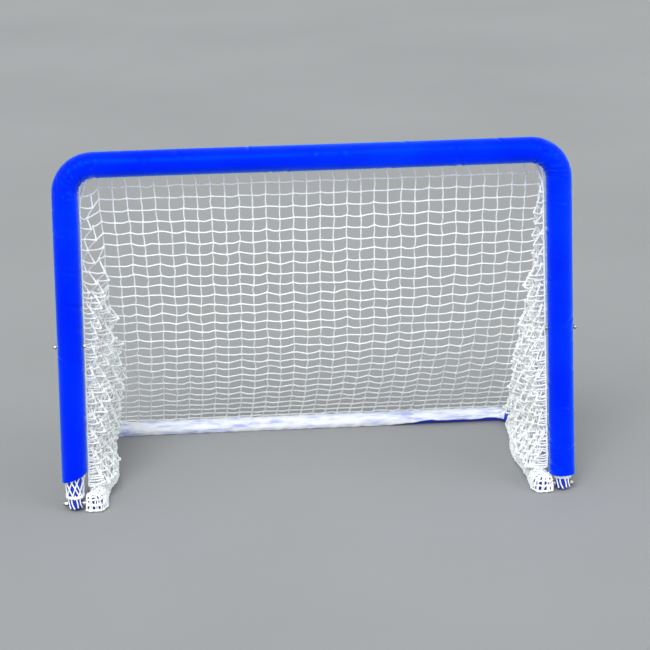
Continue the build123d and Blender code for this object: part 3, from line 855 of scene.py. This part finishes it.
def lashings(name, side):
    """Netting wound both ways round the bare foot, tight turns near the ground, and four ends below."""
    bundle = Bundle()
    top, low = PAD_ENDS[name] + 0.006, 0.037
    pairs, rounds = 8, 2.6
    tight, under = TUBE_R + 2.6 * CORD_R, TUBE_R + 1.3 * CORD_R
    for way in (-1, 1):
        uneven = dice.uniform(-0.25, 0.25, pairs)
        for k in range(pairs):
            line = []
            for t in np.linspace(0, 1, 26):
                z = top + (low - top) * t
                turn = 2 * math.pi * (k + uneven[k]) / pairs + way * (1.25 + 0.9 * uneven[k]) * t
                around = TUBE_R + CORD_R * (1.2 + 0.9 * (way > 0)) + 0.004 * (1 - t) ** 2
                line.append(by_post(side, turn, around, z))
            bundle.cord(line, CORD_R, sides=8)
    ring = []
    for t in np.linspace(0, 1, 90):
        ring.append(by_post(side, 2 * math.pi * rounds * t, tight, low + 0.001 + 0.010 * t))
    bundle.cord(ring, CORD_R, sides=8)
    front = 1.5 * math.pi
    ends = (
        [(front - 1.15, low + 0.012), (front - 0.85, 0.027), (front - 0.62, 0.0100)],
        [(front - 0.50, low + 0.010), (front - 0.38, 0.026), (front - 0.06, 0.0095)],
        [(front + 0.02, low + 0.012), (front + 0.28, 0.029), (front + 0.40, 0.0120)],
        [(front + 0.62, low + 0.010), (front + 0.74, 0.024), (front + 1.05, 0.0100)],
    )
    for end in ends:
        line = [by_post(side, turn, under, z) for turn, z in end]
        bundle.cord(through(line, 8), CORD_R, sides=8)
    piece = bundle.piece(f"{name}_foot_lashing", LOOKS["net_cord"], "net_cord")
    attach(piece, "front_frame")


border_rope()
ties()
side_ropes()
for name, side in SIDES.items():
    lashings(name, side)


# ------------------------------------------------------------------ woven hem
def hem_route(count):
    """Along the rear bar and round both bends: place, way out of the goal, and run from the middle."""
    half = BAR_X - REAR_BEND_R
    arc = REAR_BEND_R * HEM_BEND
    route = []
    for run in np.linspace(-half - arc, half + arc, count):
        side = math.copysign(1.0, run)
        turn = max(0.0, abs(run) - half) / REAR_BEND_R
        x = side * min(abs(run), half) + side * REAR_BEND_R * math.sin(turn)
        y = REAR_Y - REAR_BEND_R * (1 - math.cos(turn))
        route.append(((x, y), (side * math.sin(turn), math.cos(turn)), run))
    return route


def hem():
    """A tape folded over the rear bar. Its front edge rides up on the right and shows the tube below."""
    route, turns = hem_route(300), 40
    gap, thickness, lowest = 0.0019, 0.0011, 0.0003
    lengths = len(route) - 1
    outer, inner = [], []
    for (x, y), (out_x, out_y), run in route:
        lift = np.clip((run - 0.16) / 0.22, 0, 1)
        lift = lift * lift * (3 - 2 * lift)
        front = math.radians(64 - 50 * lift + 4 * math.sin(31 * run) + 3 * math.sin(67 * run))
        rear = math.radians(60 + 4 * math.sin(23 * run))
        for k in range(turns + 1):
            turn = 1.5 * math.pi + front - math.pi / 2 - (math.pi + front + rear) * k / turns
            wrinkle = 0.0009 * math.sin(150 * run + 3 * turn) * math.sin(41 * run + 1.7)
            edge = 0.0010 * (min(k, turns - k) < 3)
            out = TUBE_R + gap + wrinkle + edge
            for rim, depth in ((outer, 0.0), (inner, thickness)):
                radius = out - depth
                away = radius * math.cos(turn)
                z = max(PIVOT_Z + radius * math.sin(turn), lowest + depth)
                rim.append((x + out_x * away, y + out_y * away, z))
    wide = turns + 1
    shift = len(outer)
    faces = []
    for i in range(lengths):
        for k in range(turns):
            a, b, c, d = i * wide + k, i * wide + k + 1, (i + 1) * wide + k + 1, (i + 1) * wide + k
            faces += [(a, d, c, b), (a + shift, b + shift, c + shift, d + shift)]
        for k in (0, turns):
            a, d = i * wide + k, (i + 1) * wide + k
            faces.append((a, a + shift, d + shift, d) if k == 0 else (a, d, d + shift, a + shift))
    for i in (0, lengths):
        for k in range(turns):
            a, b = i * wide + k, i * wide + k + 1
            faces.append((a, b, b + shift, a + shift) if i == 0 else (b, a, a + shift, b + shift))
    piece = make_piece("net_hem", np.array(outer + inner), faces, LOOKS["woven_hem"])
    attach(piece, "ground_frame")
    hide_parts("net_rear_hem")


hem()


# ------------------------------------------------------------------ studio
def soft_sun(name, source, energy, angle):
    """A wide, even light that comes from the source's side."""
    data = bpy.data.lights.new(name, "SUN")
    data.energy = energy
    data.angle = math.radians(angle)
    lamp = bpy.data.objects.new(name, data)
    lamp.matrix_world = (-Vector(source)).to_track_quat("-Z", "Y").to_matrix().to_4x4()
    bpy.context.scene.collection.objects.link(lamp)


def studio():
    half = 60.0
    corners = [(-half, -half, 0), (half, -half, 0), (half, half, 0), (-half, half, 0)]
    floor = make_piece("floor", corners, [(0, 1, 2, 3)], floor_paint())
    soft_sun("sky", (-0.25, -0.95, 1.0), 1.8, 25)
    soft_sun("left_fill", (-3.0, -4.0, 1.7), 1.0, 50)
    soft_sun("right_fill", (3.6, -3.0, 1.1), 1.5, 50)
    world = bpy.data.worlds.new("studio")
    world.use_nodes = True
    world.node_tree.nodes["Background"].inputs["Color"].default_value = (0.92, 0.96, 1.0, 1.0)
    world.node_tree.nodes["Background"].inputs["Strength"].default_value = 0.62
    bpy.context.scene.world = world
    bpy.context.scene.view_settings.view_transform = "Standard"


def camera():
    azimuth, elevation, roll = (math.radians(a) for a in (-3.12, 17.20, 1.31))
    distance = 6.292
    aim = Vector((0.0396, POST_Y + 0.300, 0.4042))
    flat = math.cos(elevation)
    forward = Vector((-math.sin(azimuth) * flat, math.cos(azimuth) * flat, -math.sin(elevation)))
    level = Vector((math.cos(azimuth), math.sin(azimuth), 0))
    up = level.cross(forward)
    right = level * math.cos(roll) - up * math.sin(roll)
    above = level * math.sin(roll) + up * math.cos(roll)
    place = aim - forward * distance
    data = bpy.data.cameras.new("camera")
    data.lens = 124.24
    data.sensor_width = 36
    seen = bpy.data.objects.new("camera", data)
    turn = Matrix((right, above, -forward)).transposed().to_4x4()
    seen.matrix_world = Matrix.Translation(place) @ turn
    bpy.context.scene.collection.objects.link(seen)
    bpy.context.scene.camera = seen


studio()
camera()
